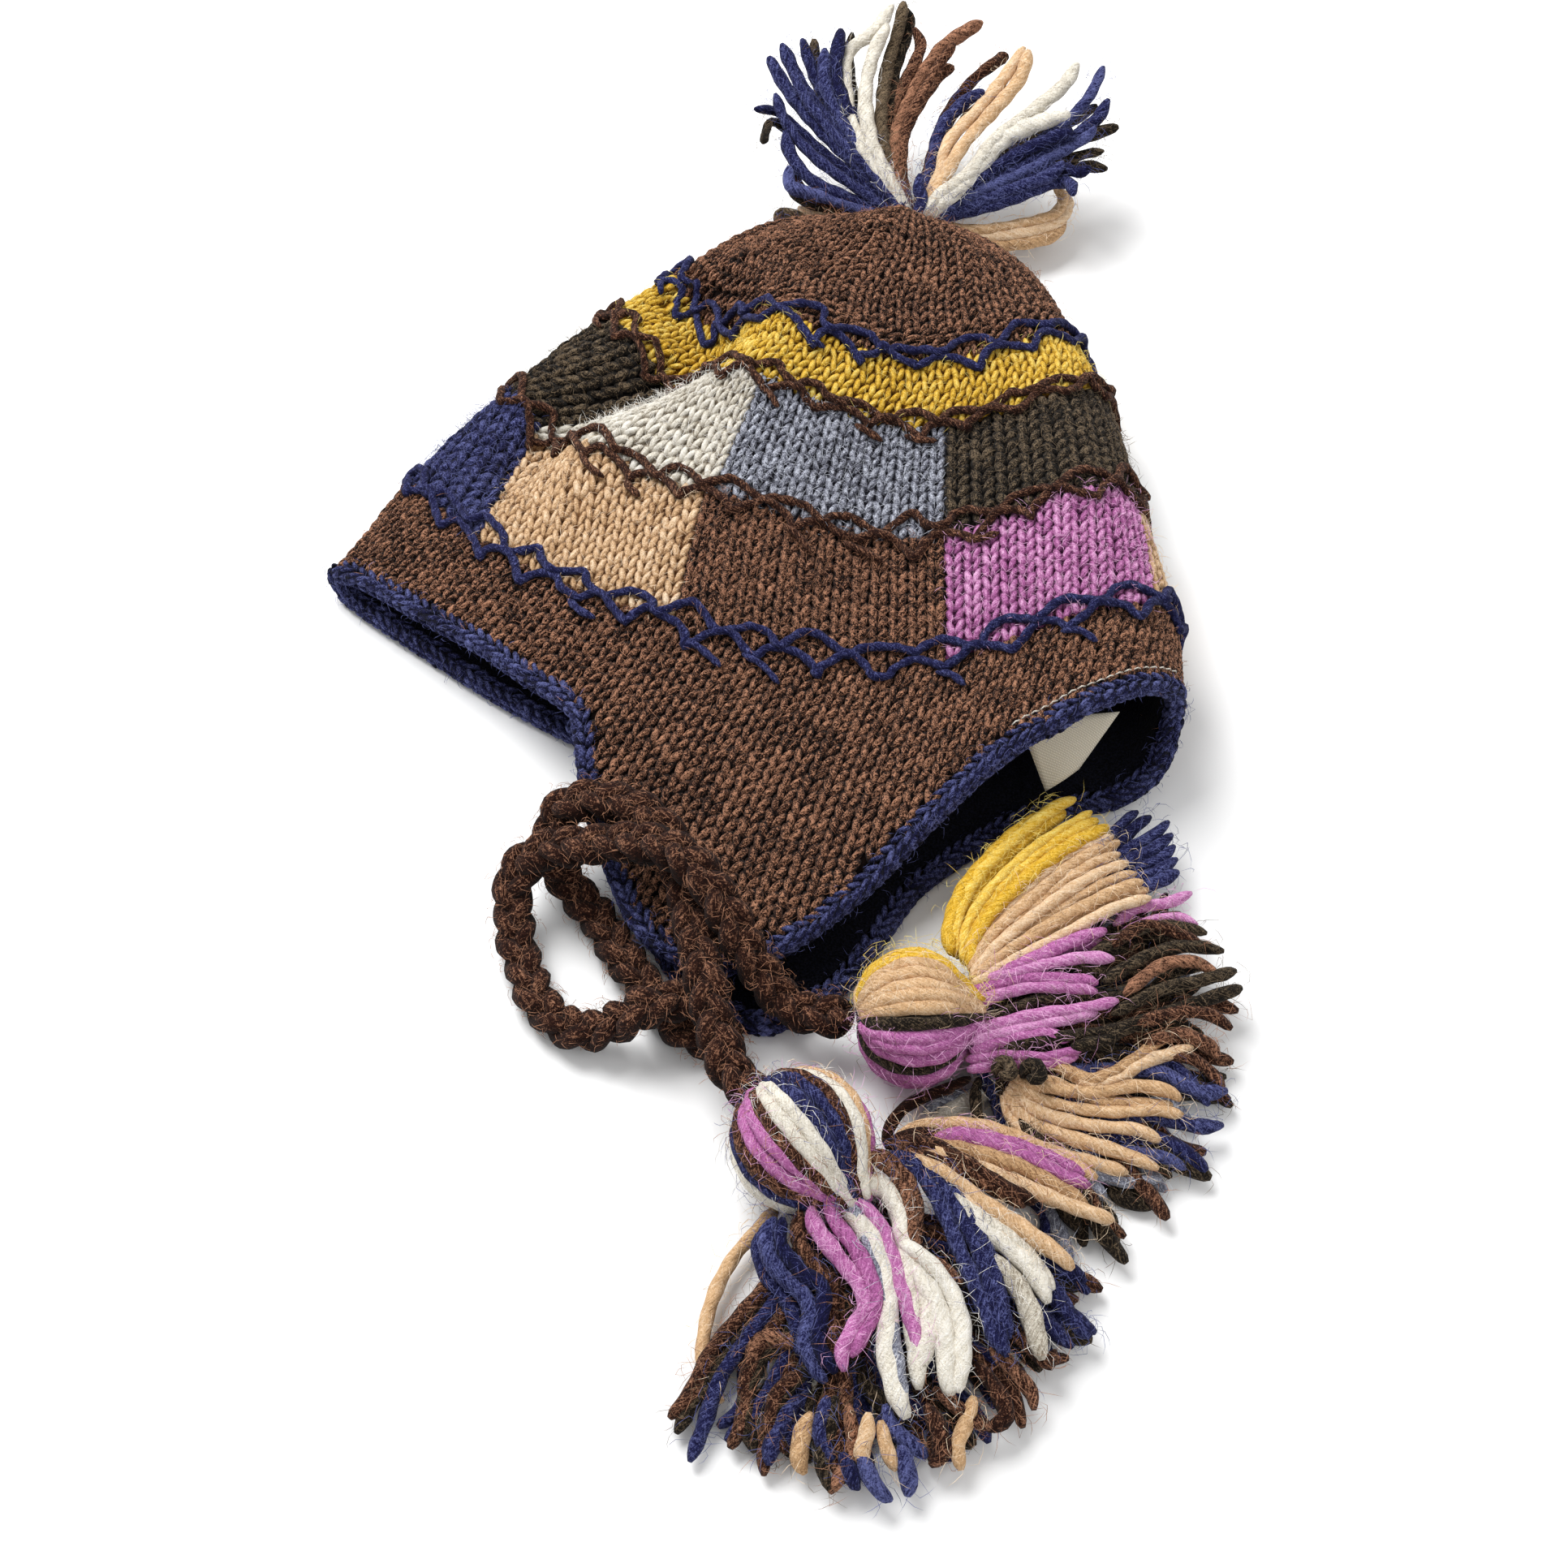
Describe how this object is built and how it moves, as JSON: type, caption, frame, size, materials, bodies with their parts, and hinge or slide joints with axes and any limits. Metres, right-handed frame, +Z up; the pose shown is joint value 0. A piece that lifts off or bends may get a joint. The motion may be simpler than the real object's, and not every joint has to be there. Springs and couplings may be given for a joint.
{
  "type": "earflap hat",
  "caption": "Knitted wool patchwork hat lying on its side, with fleece lining, two earflaps, braided ties that end in tassels, and a fan of cut yarn at the crown.",
  "frame": {"origin": "on the flat underside of the far side, near the middle of the head part, on the surface that the hat lies on", "axes": "+Z up, +Y towards the crown, -Y towards the head opening and the earflaps, +X to the right when the opening faces the viewer"},
  "size_m": [0.3094, 0.5413, 0.0597],
  "materials": {
    "brown_wool": "heathered hand-knit wool in patches of brown, navy, yellow, olive, white, grey-blue, tan and orchid",
    "black_fleece": "brushed fleece pile",
    "navy_wool": "crocheted wool edge",
    "cream_tape": "woven tape, blank",
    "tie_wool": "plaited wool yarn",
    "near_tassel_wool": "loose two-ply yarn in yellow, tan, orchid, olive and navy",
    "far_tassel_wool": "loose two-ply yarn in orchid, white, grey, tan, brown and navy",
    "tuft_wool": "cut two-ply yarn in navy, olive, white, brown, yellow and tan"
  },
  "bodies": {
    "root": {"knit_shell": "brown_wool", "fleece_lining": "black_fleece", "edge_trim": "navy_wool", "care_label": "cream_tape", "near_tie": "tie_wool", "far_tie": "tie_wool", "near_tassel": "near_tassel_wool", "far_tassel": "far_tassel_wool", "crown_tuft": "tuft_wool"}
  },
  "joints": []
}
